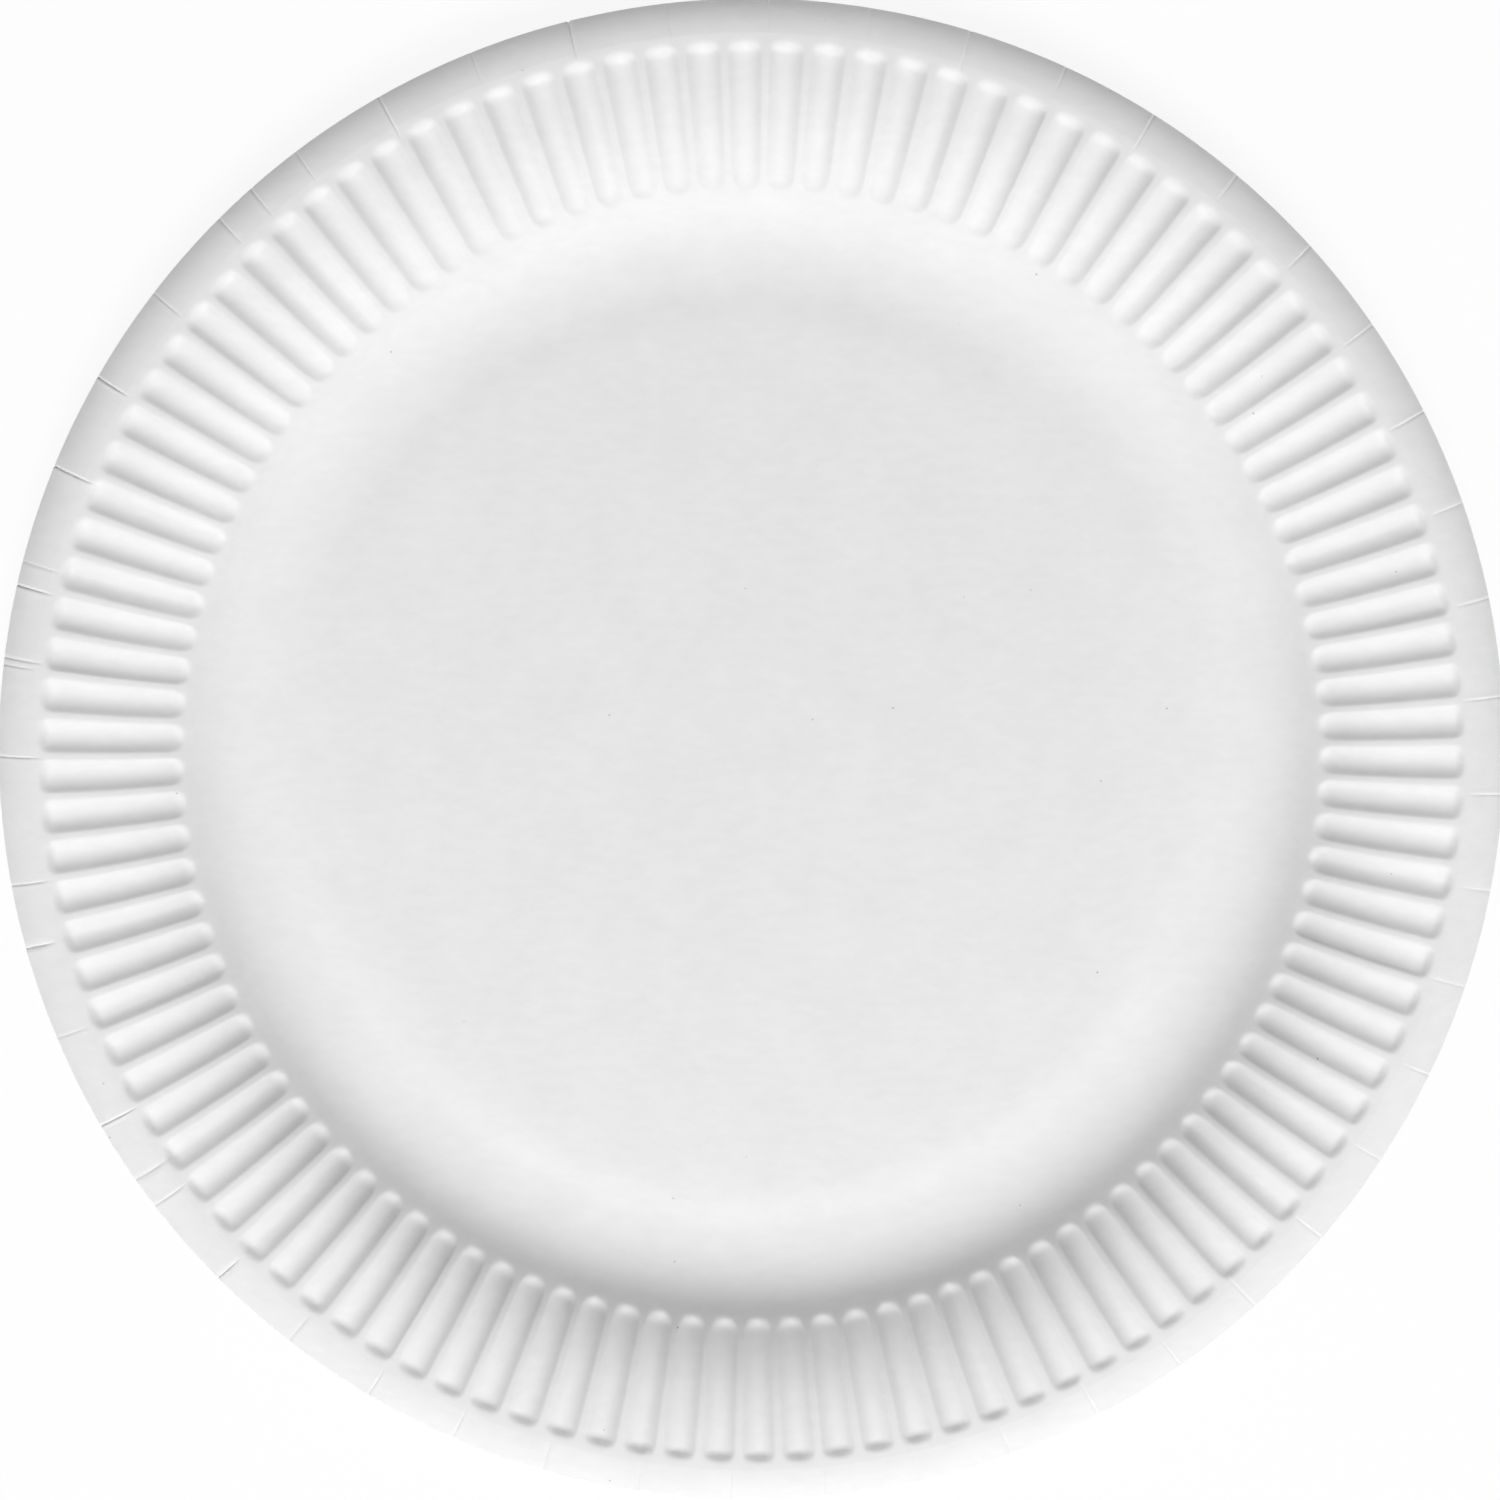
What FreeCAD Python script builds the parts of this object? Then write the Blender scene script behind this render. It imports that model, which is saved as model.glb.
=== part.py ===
import FreeCAD, Part
import math
import os

# A round paper plate, pressed from one sheet of paperboard, eating side up.
# The origin is the centre of the ring that it stands on, and Z is its axis.
# Lengths are in millimetres and angles in degrees.

# Driving dimensions
SIZES = {
    "plate_diameter": 230,
    "board_thickness": 0.45,
    # flat middle, raised above the ring that the plate stands on
    "panel_rise": 1.3,
    "panel_sides": 54,
    "gutter_width": 14,
    "foot_width": 2.4,
    # hollow bend from the foot to the steepest part of the wall
    "wall_radius": 11.9,
    "wall_angle": 41.5,
    # long rounded shoulder that carries the flutes
    "shoulder_radius": 35,
    # turned down edge
    "lip_radius": 9.1,
    "lip_angle": 42.9,
    # pressed flutes, with the turn of the first one and the length of each end ramp
    "flute_count": 108,
    "flute_turn": 0.57,
    "flute_ramp": 3.7,
    "flute_depth_inner": 0.5,
    "flute_depth_outer": 0.7,
}

doc = FreeCAD.newDocument("paper_plate")
sheet = doc.addObject("Spreadsheet::Sheet", "Sizes")
for row, (alias, value) in enumerate(SIZES.items(), start=1):
    sheet.set(f"A{row}", alias)
    sheet.set(f"B{row}", str(value))
    sheet.setAlias(f"B{row}", alias)
doc.recompute()


def size(alias):
    """A driving dimension as the sheet holds it."""
    return float(sheet.get(alias))


board = size("board_thickness")
wall_radius = size("wall_radius")
shoulder_radius = size("shoulder_radius")
lip_radius = size("lip_radius")
wall_slope = math.radians(size("wall_angle"))
lip_slope = math.radians(size("lip_angle"))

# Rings of the eating side, from the edge inwards
crown_r = size("plate_diameter") / 2 - lip_radius * math.sin(lip_slope)
shoulder_r = crown_r - shoulder_radius * math.sin(wall_slope)
foot_r = shoulder_r - wall_radius * math.sin(wall_slope)
foot_inner_r = foot_r - size("foot_width")
panel_r = foot_inner_r - size("gutter_width")

# Heights of the eating side and of the centres of its three bends
wall_centre_z = board + wall_radius
shoulder_z = wall_centre_z - wall_radius * math.cos(wall_slope)
shoulder_centre_z = shoulder_z - shoulder_radius * math.cos(wall_slope)
crown_z = shoulder_centre_z + shoulder_radius
lip_centre_z = crown_z - lip_radius

# Flutes, by the slopes of the shoulder where the floor of a flute starts and ends
flute_count = round(size("flute_count"))
pitch = 2 * math.pi / flute_count
floor_end = size("flute_ramp") / shoulder_radius
floor_start = wall_slope - floor_end
floor_middle = wall_slope / 2

panel_sides = round(size("panel_sides"))


def point(place, turn=0.0):
    """The point of a section place (radius, height), turned round the axis."""
    radius, height = place
    return FreeCAD.Vector(radius * math.cos(turn), radius * math.sin(turn), height)


def on_wall(slope, down):
    """Section place where the hollow bend has this slope, at a depth into the board."""
    reach = wall_radius + down
    return foot_r + reach * math.sin(slope), wall_centre_z - reach * math.cos(slope)


def on_shoulder(slope, down):
    """Section place where the rounded shoulder has this slope, at a depth into the board."""
    reach = shoulder_radius - down
    return crown_r - reach * math.sin(slope), shoulder_centre_z + reach * math.cos(slope)


def on_lip(slope, down):
    """Section place where the lip falls at this slope, at a depth into the board."""
    reach = lip_radius - down
    return crown_r + reach * math.sin(slope), lip_centre_z + reach * math.cos(slope)


def bend(on_surface, start, end, down, turn):
    """Arc of the section between two slopes, in the radial plane at this turn."""
    slopes = (start, (start + end) / 2, end)
    return Part.Arc(*[point(on_surface(slope, down), turn) for slope in slopes]).toShape()


def flat_face(*corners):
    """Flat face between corners given in order."""
    return Part.Face(Part.makePolygon([*corners, corners[0]]))


def polygon(radius, height, sides):
    """Closed wire round the axis, with its corners half a step off the X axis."""
    step = 2 * math.pi / sides
    corners = [point((radius, height), (k + 0.5) * step) for k in range(sides)]
    return Part.makePolygon([*corners, corners[0]])


def across_pitch(curve):
    """Surface across one pitch, between a curve and the same curve a pitch further round."""
    return Part.makeRuledSurface(curve(-pitch / 2), curve(pitch / 2))


def ramp_faces(tip_slope, floor_slope, floor_tip, down):
    """Hipped end of a flute: three flat faces from the shoulder down to the tip of its floor."""
    left_tip, right_tip = [point(on_shoulder(tip_slope, down), turn) for turn in (-pitch / 2, pitch / 2)]
    left, right = [point(on_shoulder(floor_slope, down), turn) for turn in (-pitch / 2, pitch / 2)]
    return [
        flat_face(left_tip, right_tip, floor_tip),
        flat_face(left_tip, left, floor_tip),
        flat_face(right_tip, right, floor_tip),
    ]


def flute_faces(down):
    """One flute: two flanks that meet in its floor line, and a ramp at each end.

    The ridges between flutes follow the shoulder. The floor line lies in the middle of the
    pitch, and its depth grows outwards as the pitch widens.
    """
    inner_depth = down + size("flute_depth_inner")
    outer_depth = down + size("flute_depth_outer")
    inner_tip = point(on_shoulder(floor_start, inner_depth))
    middle = point(on_shoulder(floor_middle, (inner_depth + outer_depth) / 2))
    outer_tip = point(on_shoulder(floor_end, outer_depth))
    floor_line = Part.Arc(inner_tip, middle, outer_tip).toShape()
    left_ridge, right_ridge = [
        bend(on_shoulder, floor_start, floor_end, down, turn) for turn in (-pitch / 2, pitch / 2)
    ]
    return [
        Part.makeRuledSurface(left_ridge, floor_line),
        Part.makeRuledSurface(right_ridge, floor_line),
        *ramp_faces(wall_slope, floor_start, inner_tip, down),
        *ramp_faces(0, floor_end, outer_tip, down),
    ]


def side_faces(down):
    """One pitch of one side of the board, from the foot to the edge."""
    return [
        across_pitch(lambda turn: bend(on_wall, 0, wall_slope, down, turn)),
        *flute_faces(down),
        across_pitch(lambda turn: bend(on_lip, 0, lip_slope, down, turn)),
    ]


def cut_edge_face():
    """One pitch of the cut edge of the board, square to the lip."""
    top = on_lip(lip_slope, 0)
    bottom = on_lip(lip_slope, board)
    return across_pitch(lambda turn: Part.LineSegment(point(top, turn), point(bottom, turn)).toShape())


def middle_faces(down):
    """Raised panel, the gutter that falls to the foot, and the flat ring of the foot."""
    foot_z = board - down
    panel_z = foot_z + size("panel_rise")
    foot_outline = Part.Face(polygon(foot_r, foot_z, flute_count))
    foot_hole = Part.Face(polygon(foot_inner_r, foot_z, panel_sides))
    faces = [Part.Face(polygon(panel_r, panel_z, panel_sides)), *foot_outline.cut(foot_hole).Faces]
    step = 2 * math.pi / panel_sides
    for k in range(panel_sides):
        start, end = (k - 0.5) * step, (k + 0.5) * step
        upper = point((panel_r, panel_z), start), point((panel_r, panel_z), end)
        lower = point((foot_inner_r, foot_z), end), point((foot_inner_r, foot_z), start)
        faces.append(flat_face(*upper, *lower))
    return faces


def pressed_board():
    """Both sides of the board and its cut edge, sewn into one closed solid."""
    one_pitch = [*side_faces(0), *side_faces(board), cut_edge_face()]
    faces = [*middle_faces(0), *middle_faces(board)]
    for k in range(flute_count):
        for face in one_pitch:
            turned = face.copy()
            turned.rotate(FreeCAD.Vector(), FreeCAD.Vector(0, 0, 1), math.degrees(k * pitch))
            faces.append(turned)
    skin = Part.Compound(faces)
    skin.sewShape()
    solid = Part.Solid(skin.Shells[0])
    if solid.Volume < 0:
        solid.reverse()
    return solid


plate = doc.addObject("Part::Feature", "plate")
plate.Label = "plate"
plate.Shape = pressed_board()
plate.Placement = FreeCAD.Placement()
plate.setExpression("Placement.Rotation.Angle", "Sizes.flute_turn")
doc.recompute()

for item in doc.Objects:
    if {"Invalid", "Error"} & set(item.State):
        raise RuntimeError(f"{item.Label} failed: {item.State}")
if plate.Shape.isNull() or not plate.Shape.isValid() or len(plate.Shape.Solids) != 1:
    raise RuntimeError("the plate is not one valid solid")

os.makedirs("parts", exist_ok=True)
plate.Shape.exportStep(f"parts/{plate.Label}.step")
print("volume", round(plate.Shape.Volume), "mm3, height", round(plate.Shape.BoundBox.ZLength, 2), "mm")
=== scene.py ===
"""A white paper plate, pressed from one sheet of paperboard, eating side up on a white table.

Lengths of the plate are in millimetres, and become metres where the mesh is made. Names that end
in R are radii from the axis.
"""

import bpy
import numpy as np
from mathutils import Matrix, Vector


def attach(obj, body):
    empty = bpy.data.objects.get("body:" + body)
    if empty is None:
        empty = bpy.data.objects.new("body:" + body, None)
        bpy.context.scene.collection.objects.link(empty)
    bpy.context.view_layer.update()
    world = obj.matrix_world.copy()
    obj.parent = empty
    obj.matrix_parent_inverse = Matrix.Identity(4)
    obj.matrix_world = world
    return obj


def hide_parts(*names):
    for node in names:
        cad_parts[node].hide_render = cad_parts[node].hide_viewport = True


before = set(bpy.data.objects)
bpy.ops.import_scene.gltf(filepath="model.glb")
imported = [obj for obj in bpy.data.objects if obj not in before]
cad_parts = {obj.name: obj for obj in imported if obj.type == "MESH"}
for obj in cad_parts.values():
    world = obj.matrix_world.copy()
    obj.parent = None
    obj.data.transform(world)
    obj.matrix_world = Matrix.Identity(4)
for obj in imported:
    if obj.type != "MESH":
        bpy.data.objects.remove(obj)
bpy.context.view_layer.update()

MM = 0.001

# The sheet
BOARD = 0.45
EDGE_R = 114.97

# Slope of the eating side in degrees, rising outwards, at radii from the axis to the crown: a
# slightly domed panel that falls faster at its edge, to the ring the plate stands on, then the
# hollow bend up to the wall, and the long shoulder
SLOPES = (
    (0.0, 0.0),
    (46.0, -0.8),
    (61.0, -1.5),
    (66.0, -2.1),
    (68.6, -4.2),
    (70.6, -9.4),
    (72.3, -9.4),
    (74.0, -3.2),
    (75.5, 0.0),
    (77.4, 2.6),
    (79.7, 9.8),
    (81.2, 15.8),
    (82.8, 23.2),
    (84.3, 32.0),
    (85.6, 40.3),
    (86.6, 43.6),
    (87.6, 43.6),
    (90.5, 35.5),
    (93.5, 27.6),
    (98.0, 15.4),
    (104.0, 4.4),
    (108.81, 0.0),
)
FOOT_R = 75.5

# Crown, where the long shoulder that carries the flutes ends and the turned down lip begins
CROWN_R = 108.81
LIP_RADIUS = 9.6
# fine line that the press leaves round the root of the lip
RING_R = 109.6
RING_WIDTH = 0.16
RING_HEIGHT = 0.015

# Step at which the section is added up and its slopes are measured, and how far it goes on past
# the edge for that
STEP = 0.02
PAST_EDGE = 0.5

# Flutes: rounded troughs with narrow ridges between them. The share is half a trough's width in
# pitches, the rounds are the lengths of its ends, and the softness rounds its rim
FLUTES = 108
PITCH = 2 * np.pi / FLUTES
FLUTE_TURN = np.radians(0.57)
FLUTE_SHARE = 0.40
FLUTE_START = 87.7
FLUTE_END = 108.3
START_ROUND = 2.0
END_ROUND = 1.4
RIM_SOFTNESS = 0.12
DEPTH_AT_START = 1.05
DEPTH_AT_END = 1.10

# Creases of the lip, where the board gathers as it is pressed: evenly spaced in degrees round a
# centre about a millimetre off the axis, which shifts each by a sine and a cosine of its turn
CREASE_COUNT = 48
FIRST_CREASE = 6.0
CREASE_SPACING = 7.5
SINE_SHIFT = 0.2
COSINE_SHIFT = -0.55
# one of them stands far from its place, and there are four more
STRAY_CREASE = 24
STRAY_SHIFT = 2.5
EXTRA_CREASES = (130.8, 165.8, 172.0, 213.9)
# ranges that chance draws from, and the creases that are pressed deepest
CREASE_SEED = 7
CREASE_WANDER = 0.06
CREASE_DEPTHS = (0.08, 0.16)
CREASE_ENDS = (107.2, 109.6)
STRONG_CREASES = (13, 19, 20, 25, 27, 29, 49)
STRONG_DEPTH = 0.26
# shape of one crease: its width, the length over which it fades inwards, and the welt beside it,
# whose place and width are in widths of the crease
CREASE_WIDTH = 0.16
CREASE_FADE = 2.5
WELT_SHARE = 0.4
WELT_PLACE = 2.2
WELT_WIDTH = 1.3

# Grid of the mesh: spokes as shares of a flute's pitch, spokes beside the middle of each crease,
# and radii of the rings
FINE_SHARES = (-0.5, -0.45, -0.41, -0.37, -0.3, -0.17, 0, 0.17, 0.3, 0.37, 0.41, 0.45)
UNDER_SHARES = (-0.5, -0.41, -0.3, 0, 0.3, 0.41)
MIDDLE_SHARES = (-0.5, 0)
CREASE_OFFSETS = (-0.33, -0.13, 0, 0.13, 0.33)
MIDDLE_RADII = np.concatenate((
    np.linspace(8, 64, 9), np.linspace(67, 74.2, 5), np.linspace(74.9, 84.5, 12),
))
TOP_RADII = np.concatenate((
    np.linspace(85.4, 89.8, 13), np.linspace(91.4, 104.6, 8), np.linspace(105.4, 109.0, 9),
    (109.35, 109.5, 109.6, 109.7, 109.85, 110.1), np.linspace(110.8, EDGE_R, 8),
))
UNDER_RADII = np.concatenate((
    np.linspace(85.2, 89.2, 6), np.linspace(91, 106, 7),
    np.linspace(107, 109.2, 5), np.linspace(110, EDGE_R, 7),
))
# angle in degrees from which an edge stays sharp, as both edges of the cut side do
SHARP_FROM = 60

# Colours of the board and the table
PULP_THICK = "#F0F0F0"
PULP_THIN = "#EBEBEB"
BARK = "#9C9A96"
LAMINATE = "#FAFAFA"
WHITE = "#FFFFFF"

# Flocs of fibre, which lie along the way the board ran through its machine, and wide clouds
FLOC_SIZE = 1.6
FLOC_STRETCH = (0.45, 1, 1)
CLOUD_SIZE = 11
CLOUD_SHARE = 0.4
CLOUD_RANGE = (0.36, 0.64)
# specks of bark: side of the cells that may hold one, their dark core and their reach, and the
# share of the cells that hold none
SPECK_CELL = 11
SPECK_CORE = 0.044
SPECK_REACH = 0.198
SPECKLESS = 0.86
# felt grain
GRAIN_SIZE = 0.7
GRAIN_DEPTH = 0.02

# Camera, fitted to the rim, the two flute rings and the spread of the flutes
CAMERA_DISTANCE = 0.3948
CAMERA_TILT = 5.0
CAMERA_AZIMUTH = 91.6
CAMERA_LENS = 60.4
CAMERA_SENSOR = 36
CAMERA_SHIFT = (-1.9 / 1500, 12.1 / 1500)

# Lamps: distance and size in metres, then name, azimuth and elevation in degrees, and level
LAMP_DISTANCE = 2.6
LAMP_SIZE = 1.4
LAMPS = (
    ("front_window", 277, 57, 0.935),
    ("left_window", 180, 38, 0.13),
    ("right_window", 0, 38, 0.11),
)
ROOM_LEVEL = 0.04

# Half the table's side in metres, and the share of plain white in what the camera sees of it
TABLE_REACH = 4.0
BACKDROP_SHARE = 0.91


def spokes(shares):
    """Turns of the spokes at these shares of every pitch, in order round the axis."""
    flute = np.arange(FLUTES)[:, None]
    return (FLUTE_TURN + (flute + np.array(shares)) * PITCH).ravel()


def crease_table():
    """Turn, depth and inner end of each crease.

    A turn is the first one plus a whole number of spacings, shifted by a sine and a cosine of
    itself, and each value is moved a little by chance.
    """
    places = FIRST_CREASE + CREASE_SPACING * np.arange(CREASE_COUNT)
    around = np.radians(places)
    places += SINE_SHIFT * np.sin(around) + COSINE_SHIFT * np.cos(around)
    places[STRAY_CREASE] += STRAY_SHIFT
    places = np.append(places, EXTRA_CREASES)
    chance = np.random.default_rng(CREASE_SEED)
    turns = np.radians(places + chance.normal(0, CREASE_WANDER, len(places)))
    depths = chance.uniform(*CREASE_DEPTHS, len(places))
    depths[list(STRONG_CREASES)] = STRONG_DEPTH
    ends = chance.uniform(*CREASE_ENDS, len(places))
    order = np.argsort(turns)
    return turns[order], depths[order], ends[order]


CREASES = crease_table()


def section_height(radius):
    """Height of the eating side without flutes: its slopes added up from the foot ring.

    Past the crown, the lip falls as an arc of a circle: the sine of its slope is the distance
    from the crown over the radius of the arc.
    """
    places = np.arange(0, EDGE_R + PAST_EDGE, STEP)
    radii, slopes = np.transpose(SLOPES)
    inside = np.interp(places, radii, np.radians(slopes))
    lip = np.arcsin(np.clip((places - CROWN_R) / LIP_RADIUS, 0, 1))
    slope = inside - lip
    steps = np.tan(slope[1:] / 2 + slope[:-1] / 2) * STEP
    heights = np.append(0, np.cumsum(steps))
    heights += BOARD - np.interp(FOOT_R, places, heights)
    return np.interp(radius, places, heights)


def flute_depth(radius, turn):
    """Depth of the flutes: a parabola across each trough, closed by a rounded end at both radii.

    The rim where a trough meets a ridge is a hyperbola instead of a corner.
    """
    across = (turn - FLUTE_TURN) / PITCH
    across = (across - np.round(across)) / FLUTE_SHARE
    start = np.clip((FLUTE_START + START_ROUND - radius) / START_ROUND, 0, None)
    end = np.clip((radius - FLUTE_END + END_ROUND) / END_ROUND, 0, None)
    inside = 1 - across**2 - start**2 - end**2
    trough = (inside + np.sqrt(inside**2 + RIM_SOFTNESS**2)) / 2
    depth = np.interp(radius, (FLUTE_START, FLUTE_END), (DEPTH_AT_START, DEPTH_AT_END))
    return depth * trough


def crease_depth(radius, turn):
    """Depth of the nearest crease: a bell curve across it, less a low and wide one beside it.

    Both fade inwards along a straight line.
    """
    turns, depths, ends = CREASES
    away = (turn[..., None] - turns + np.pi) % (2 * np.pi) - np.pi
    nearest = np.argmin(np.abs(away), axis=-1)
    away = np.take_along_axis(away, nearest[..., None], -1)[..., 0] * radius
    strength = np.clip((radius - ends[nearest]) / CREASE_FADE, 0, 1)
    groove = np.exp(-((away / CREASE_WIDTH) ** 2))
    beside = (away - WELT_PLACE * CREASE_WIDTH) / (WELT_WIDTH * CREASE_WIDTH)
    welt = WELT_SHARE * np.exp(-(beside**2))
    return depths[nearest] * strength * (groove - welt)


def ring_line(radius):
    """Height of the line at the root of the lip: a bell curve across it."""
    return RING_HEIGHT * np.exp(-(((radius - RING_R) / RING_WIDTH) ** 2))


def eating_side(radius, turn):
    """Height of the eating side: the section, less the flutes, plus the line round the lip."""
    return section_height(radius) - flute_depth(radius, turn) + ring_line(radius)


def board_points(radii, turns, down):
    """Grid of points of the board, at a depth below the eating side along its normal.

    The normal comes from the slopes outwards and round the axis. Creases press straight down.
    """
    radius = np.repeat(radii[:, None], len(turns), 1)
    turn = np.repeat(turns[None, :], len(radii), 0)
    height = eating_side(radius, turn)
    rise_out = (eating_side(radius + STEP, turn) - eating_side(radius - STEP, turn)) / (2 * STEP)
    step_round = STEP / radius
    ahead = eating_side(radius, turn + step_round)
    behind = eating_side(radius, turn - step_round)
    rise_round = (ahead - behind) / (2 * STEP)
    length = np.sqrt(1 + rise_out**2 + rise_round**2)
    out = radius + down * rise_out / length
    aside = down * rise_round / length
    up = height - down / length - crease_depth(radius, turn)
    cos, sin = np.cos(turn), np.sin(turn)
    return np.stack((out * cos - aside * sin, out * sin + aside * cos, up), -1)


def quads(rows, columns, first):
    """Corner numbers of the cells of a closed ring grid whose points are numbered from first."""
    row, column = np.meshgrid(np.arange(rows - 1), np.arange(columns), indexing="ij")
    beside = (column + 1) % columns
    corners = (
        row * columns + column,
        (row + 1) * columns + column,
        (row + 1) * columns + beside,
        row * columns + beside,
    )
    return np.stack(corners, -1).reshape(-1, 4) + first


def joined_rings(fine, coarse, fine_turns, coarse_turns):
    """Triangles between a ring of many points and one of few, at turns that the first has too.

    Every step of the fine ring makes a triangle with the coarse point at or before it, and every
    step of the coarse ring makes one with the fine point at its far end.
    """
    owner = np.searchsorted(coarse_turns, fine_turns, side="right") - 1
    step = np.arange(len(fine_turns))
    fans = np.stack((fine + step, fine + (step + 1) % len(step), coarse + owner), -1)
    starts = np.searchsorted(fine_turns, coarse_turns)
    cell = np.arange(len(coarse_turns))
    after = (cell + 1) % len(cell)
    fills = np.stack((coarse + cell, fine + starts[after], coarse + after), -1)
    return fans, fills


def pole_fan(pole, ring, count):
    """Triangles between the pole and the first ring."""
    step = np.arange(count)
    return np.stack((np.full(count, pole), ring + step, ring + (step + 1) % count), -1)


def plate_mesh():
    """Closed mesh of the sheet: two sides of rings and spokes, joined by its cut edge.

    The fluted rim has many spokes, and the smooth middle has two for each flute.
    """
    start = FLUTE_TURN - PITCH / 2
    crease_spokes = (CREASES[0][:, None] + np.array(CREASE_OFFSETS) / EDGE_R).ravel()
    fine = np.union1d(spokes(FINE_SHARES), (crease_spokes - start) % (2 * np.pi) + start)
    under = spokes(UNDER_SHARES)
    middle = spokes(MIDDLE_SHARES)

    blocks = [
        [[0, 0, section_height(0)]],
        board_points(MIDDLE_RADII, middle, 0),
        board_points(TOP_RADII, fine, 0),
        board_points(UNDER_RADII, under, BOARD),
        board_points(MIDDLE_RADII, middle, BOARD),
        [[0, 0, section_height(0) - BOARD]],
    ]
    blocks = [np.reshape(block, (-1, 3)) for block in blocks]
    first = np.cumsum([0] + [len(block) for block in blocks])
    top_pole, top_middle, top_rim, low_rim, low_middle, low_pole = first[:-1]

    top_fan = pole_fan(top_pole, top_middle, len(middle))
    low_fan = pole_fan(low_pole, low_middle, len(middle))[:, ::-1]
    last_ring = (len(MIDDLE_RADII) - 1) * len(middle)
    top_join = joined_rings(top_rim, top_middle + last_ring, fine, middle)
    low_join = joined_rings(low_rim, low_middle + last_ring, under, middle)
    top_edge = top_rim + (len(TOP_RADII) - 1) * len(fine)
    low_edge = low_rim + (len(UNDER_RADII) - 1) * len(under)
    cut_edge = joined_rings(top_edge, low_edge, fine, under)
    cells = [
        quads(len(MIDDLE_RADII), len(middle), top_middle),
        quads(len(TOP_RADII), len(fine), top_rim),
        quads(len(UNDER_RADII), len(under), low_rim)[:, ::-1],
        quads(len(MIDDLE_RADII), len(middle), low_middle)[:, ::-1],
    ]
    triangles = [top_fan, low_fan, *top_join]
    triangles += [faces[:, ::-1] for faces in (*low_join, *cut_edge)]
    faces = np.concatenate(cells).tolist() + np.concatenate(triangles).tolist()
    mesh = bpy.data.meshes.new("fluted_plate")
    mesh.from_pydata((np.concatenate(blocks) * MM).tolist(), [], faces)
    mesh.shade_smooth()
    mesh.set_sharp_from_angle(angle=np.radians(SHARP_FROM))
    mesh.validate()
    return mesh


def linear(code):
    """Linear colour of an sRGB hex value."""
    parts = np.array([int(code[i:i + 2], 16) for i in (1, 3, 5)]) / 255
    parts = np.where(parts <= 0.04045, parts / 12.92, ((parts + 0.055) / 1.055) ** 2.4)
    return (*parts.tolist(), 1.0)


def add(tree, kind, inputs, **settings):
    """Adds a node. Settings are its own properties, inputs are values or other nodes' sockets."""
    node = tree.nodes.new(kind)
    for name, value in settings.items():
        setattr(node, name, value)
    for socket, value in inputs.items():
        if isinstance(value, bpy.types.NodeSocket):
            tree.links.new(value, node.inputs[socket])
        else:
            node.inputs[socket].default_value = value
    return node


def empty_tree(owner):
    """Node tree of a material or world, with nothing in it."""
    owner.use_nodes = True
    owner.node_tree.nodes.clear()
    return owner.node_tree


def pattern_scale(feature):
    """Texture scale at which a pattern's features measure this many millimetres."""
    return 1 / (feature * MM)


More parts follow.
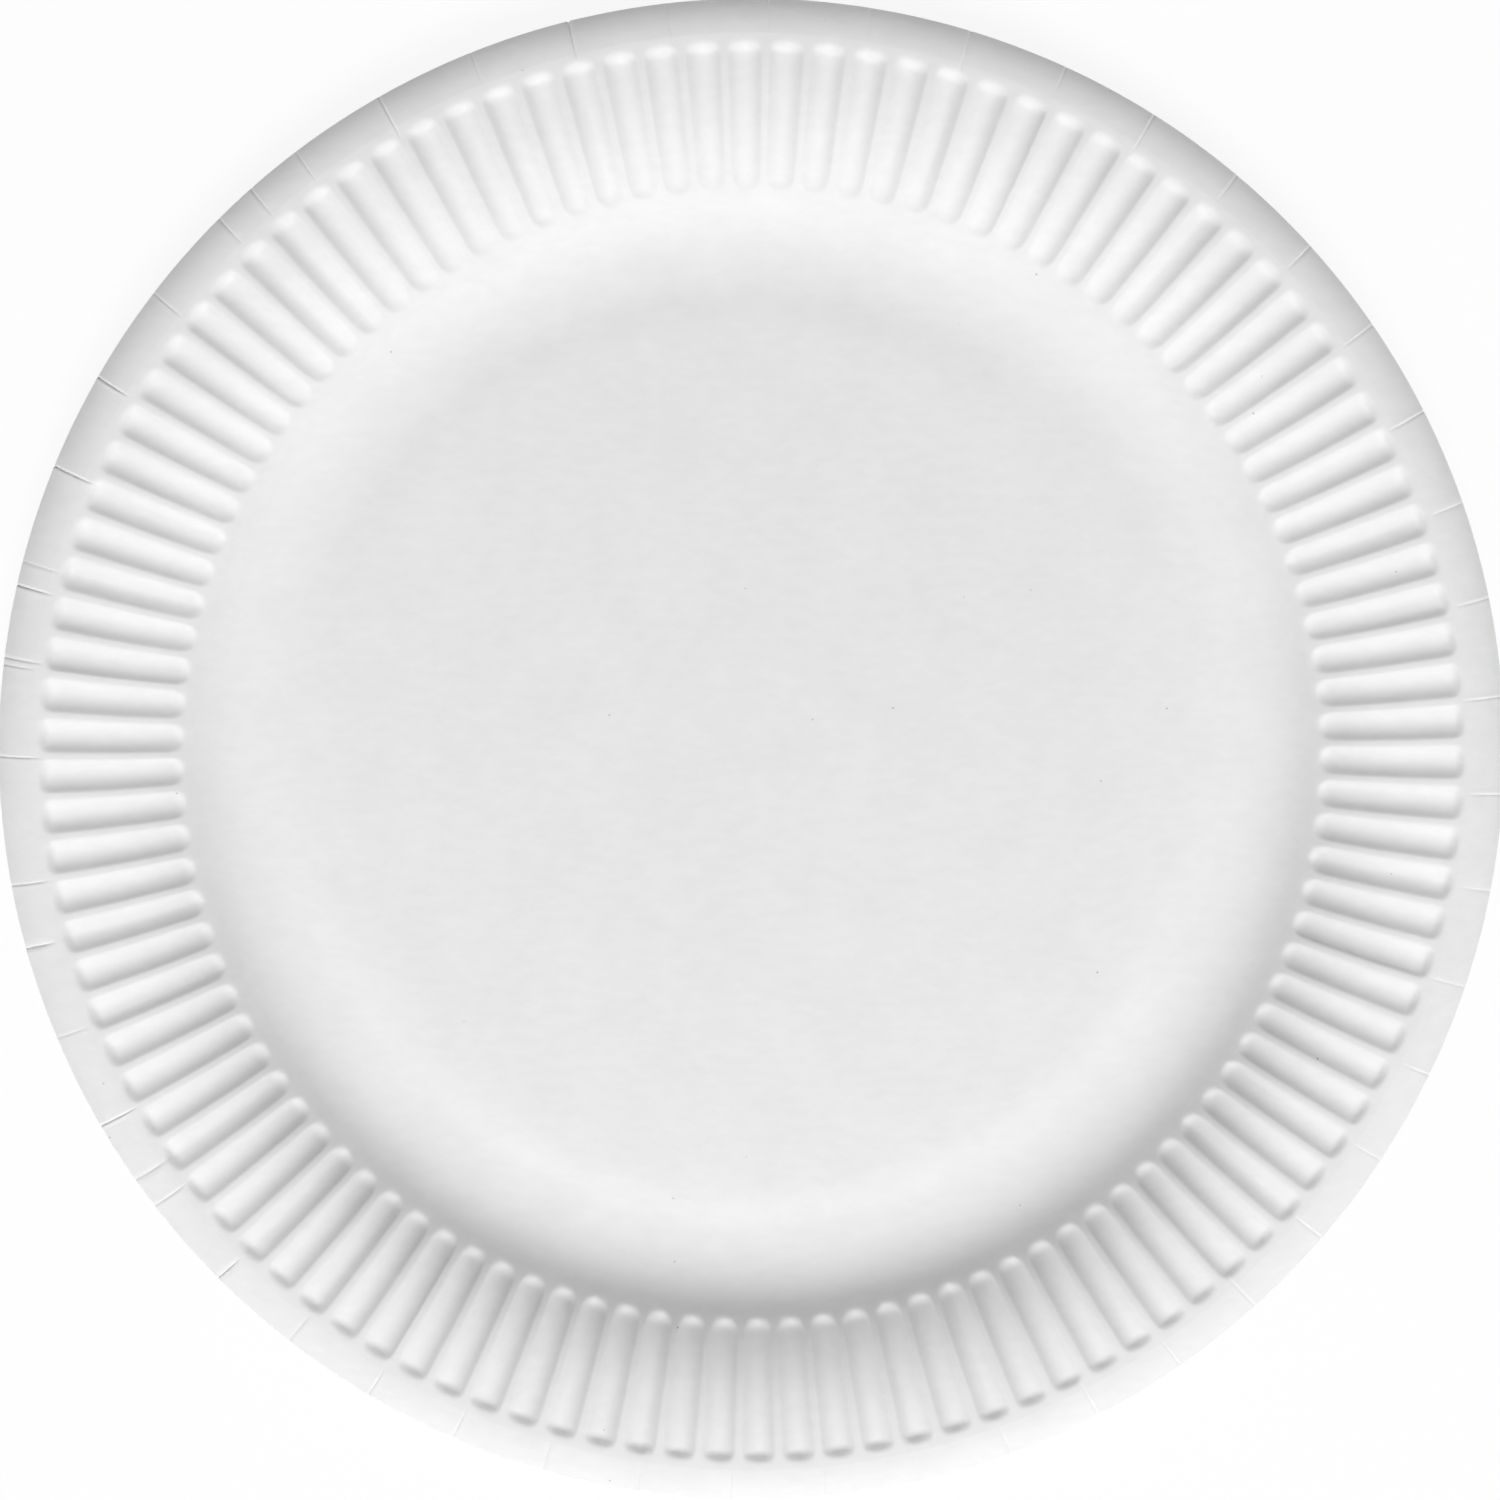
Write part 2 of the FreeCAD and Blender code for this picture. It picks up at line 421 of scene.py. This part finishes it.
def uncoated_paperboard():
    """Uncoated white paperboard, bleached pulp pressed between felt and hot dies.

    The eye gets a matt white with faint clouds where the pulp lies thicker, a fine felt grain,
    and a few dark specks of bark. The real grain is finer, and is drawn as coarse as it needs to
    be to show.
    """
    material = bpy.data.materials.new("uncoated_paperboard")
    tree = empty_tree(material)
    place = add(tree, "ShaderNodeTexCoord", {}).outputs["Object"]

    lie = add(tree, "ShaderNodeMapping", {"Vector": place, "Scale": FLOC_STRETCH})
    flocs = add(tree, "ShaderNodeTexNoise",
                {"Vector": lie.outputs["Vector"], "Scale": pattern_scale(FLOC_SIZE),
                 "Detail": 5, "Roughness": 0.65})
    clouds = add(tree, "ShaderNodeTexNoise",
                 {"Vector": place, "Scale": pattern_scale(CLOUD_SIZE),
                  "Detail": 2, "Roughness": 0.5})
    thickness = add(tree, "ShaderNodeMix",
                    {"Factor": CLOUD_SHARE, "A": flocs.outputs["Fac"],
                     "B": clouds.outputs["Fac"]},
                    data_type="FLOAT")
    pulp_share = add(tree, "ShaderNodeMapRange",
                     {"Value": thickness.outputs["Result"],
                      "From Min": CLOUD_RANGE[0], "From Max": CLOUD_RANGE[1]})
    pulp = add(tree, "ShaderNodeMix",
               {"Factor": pulp_share.outputs["Result"],
                "A": linear(PULP_THIN), "B": linear(PULP_THICK)},
               data_type="RGBA")

    cells = add(tree, "ShaderNodeTexVoronoi",
                {"Vector": place, "Scale": pattern_scale(SPECK_CELL), "Randomness": 1},
                voronoi_dimensions="2D")
    chance = add(tree, "ShaderNodeSeparateColor", {"Color": cells.outputs["Color"]})
    near = add(tree, "ShaderNodeMapRange",
               {"Value": cells.outputs["Distance"], "From Min": SPECK_CORE / SPECK_CELL,
                "From Max": SPECK_REACH / SPECK_CELL, "To Min": 1.0, "To Max": 0.0})
    picked = add(tree, "ShaderNodeMath", {0: chance.outputs["Red"], 1: SPECKLESS},
                 operation="GREATER_THAN")
    speck = add(tree, "ShaderNodeMath", {0: near.outputs["Result"], 1: picked.outputs[0]},
                operation="MULTIPLY")
    speck_tone = add(tree, "ShaderNodeMath", {0: speck.outputs[0], 1: chance.outputs["Green"]},
                     operation="MULTIPLY")
    tone = add(tree, "ShaderNodeMix",
               {"Factor": speck_tone.outputs[0], "A": pulp.outputs["Result"],
                "B": linear(BARK)},
               data_type="RGBA")

    grain = add(tree, "ShaderNodeTexNoise",
                {"Vector": place, "Scale": pattern_scale(GRAIN_SIZE),
                 "Detail": 3, "Roughness": 0.6})
    relief = add(tree, "ShaderNodeBump",
                 {"Height": grain.outputs["Fac"], "Strength": 0.35,
                  "Distance": GRAIN_DEPTH * MM})
    board = add(tree, "ShaderNodeBsdfPrincipled",
                {"Base Color": tone.outputs["Result"], "Normal": relief.outputs["Normal"],
                 "Roughness": 0.85, "Specular IOR Level": 0.3})
    add(tree, "ShaderNodeOutputMaterial", {"Surface": board.outputs["BSDF"]})
    return material


def seen(tree):
    """Socket with 1 for rays of the camera, of reflections and through glass, and 0 for light."""
    rays = add(tree, "ShaderNodeLightPath", {})
    direct = add(tree, "ShaderNodeMath",
                 {0: rays.outputs["Is Camera Ray"], 1: rays.outputs["Is Glossy Ray"]},
                 operation="MAXIMUM")
    either = add(tree, "ShaderNodeMath",
                 {0: direct.outputs[0], 1: rays.outputs["Is Transmission Ray"]},
                 operation="MAXIMUM")
    return either.outputs[0]


def white_laminate():
    """White laminate of a table top: even, matt, and white to the eye, with a soft shadow on it."""
    material = bpy.data.materials.new("white_laminate")
    tree = empty_tree(material)
    share = add(tree, "ShaderNodeMath", {0: seen(tree), 1: BACKDROP_SHARE},
                operation="MULTIPLY")
    top = add(tree, "ShaderNodeBsdfDiffuse", {"Color": linear(LAMINATE)})
    white = add(tree, "ShaderNodeEmission", {"Color": linear(WHITE), "Strength": 1.0})
    mixed = add(tree, "ShaderNodeMixShader",
                {"Fac": share.outputs[0], 1: top.outputs[0], 2: white.outputs[0]})
    add(tree, "ShaderNodeOutputMaterial", {"Surface": mixed.outputs[0]})
    return material


def linked(name, data):
    """New object of the scene with this data."""
    thing = bpy.data.objects.new(name, data)
    bpy.context.collection.objects.link(thing)
    return thing


def direction(azimuth, elevation):
    """Unit vector towards a place at this turn round Z and height above the horizon, in degrees."""
    turn, rise = np.radians((azimuth, elevation))
    return Vector((np.cos(turn) * np.cos(rise), np.sin(turn) * np.cos(rise), np.sin(rise)))


def soft_lamp(name, azimuth, elevation, level):
    """Round soft lamp aimed at the plate. A level of 1 lights a surface facing it as written."""
    light = bpy.data.lights.new(name, "AREA")
    light.shape = "DISK"
    light.size = LAMP_SIZE
    light.energy = level * np.pi**2 * LAMP_DISTANCE**2
    lamp = linked(name, light)
    way = direction(azimuth, elevation)
    lamp.location = way * LAMP_DISTANCE
    lamp.rotation_euler = way.to_track_quat("Z", "Y").to_euler()


def room(level):
    """Even light from all round, and a white surround for the camera and for reflections."""
    world = bpy.data.worlds.new("room")
    bpy.context.scene.world = world
    tree = empty_tree(world)
    light = add(tree, "ShaderNodeBackground", {"Color": linear(WHITE), "Strength": level})
    white = add(tree, "ShaderNodeBackground", {"Color": linear(WHITE), "Strength": 1.0})
    mixed = add(tree, "ShaderNodeMixShader",
                {"Fac": seen(tree), 1: light.outputs[0], 2: white.outputs[0]})
    add(tree, "ShaderNodeOutputWorld", {"Surface": mixed.outputs[0]})


def place_camera():
    """Camera almost straight above the plate, whose rim fills the picture from side to side."""
    lens = bpy.data.cameras.new("camera")
    lens.sensor_width = CAMERA_SENSOR
    lens.lens = CAMERA_LENS
    lens.shift_x, lens.shift_y = CAMERA_SHIFT
    camera = linked("camera", lens)
    back = direction(CAMERA_AZIMUTH, 90 - CAMERA_TILT)
    right = Vector((0, 1, 0)).cross(back).normalized()
    turned = Matrix((right, back.cross(right), back)).transposed()
    camera.matrix_world = Matrix.Translation(back * CAMERA_DISTANCE) @ turned.to_4x4()
    bpy.context.scene.camera = camera


place_camera()
plate = linked("fluted_plate", plate_mesh())
plate.data.materials.append(uncoated_paperboard())
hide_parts("plate")
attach(plate, "root")

table_mesh = bpy.data.meshes.new("table")
corners = TABLE_REACH * np.array(((-1, -1, 0), (1, -1, 0), (1, 1, 0), (-1, 1, 0)))
table_mesh.from_pydata(corners.tolist(), [], [(0, 1, 2, 3)])
table_mesh.materials.append(white_laminate())
table = linked("table", table_mesh)

for lamp in LAMPS:
    soft_lamp(*lamp)
room(ROOM_LEVEL)
bpy.context.scene.view_settings.view_transform = "Standard"
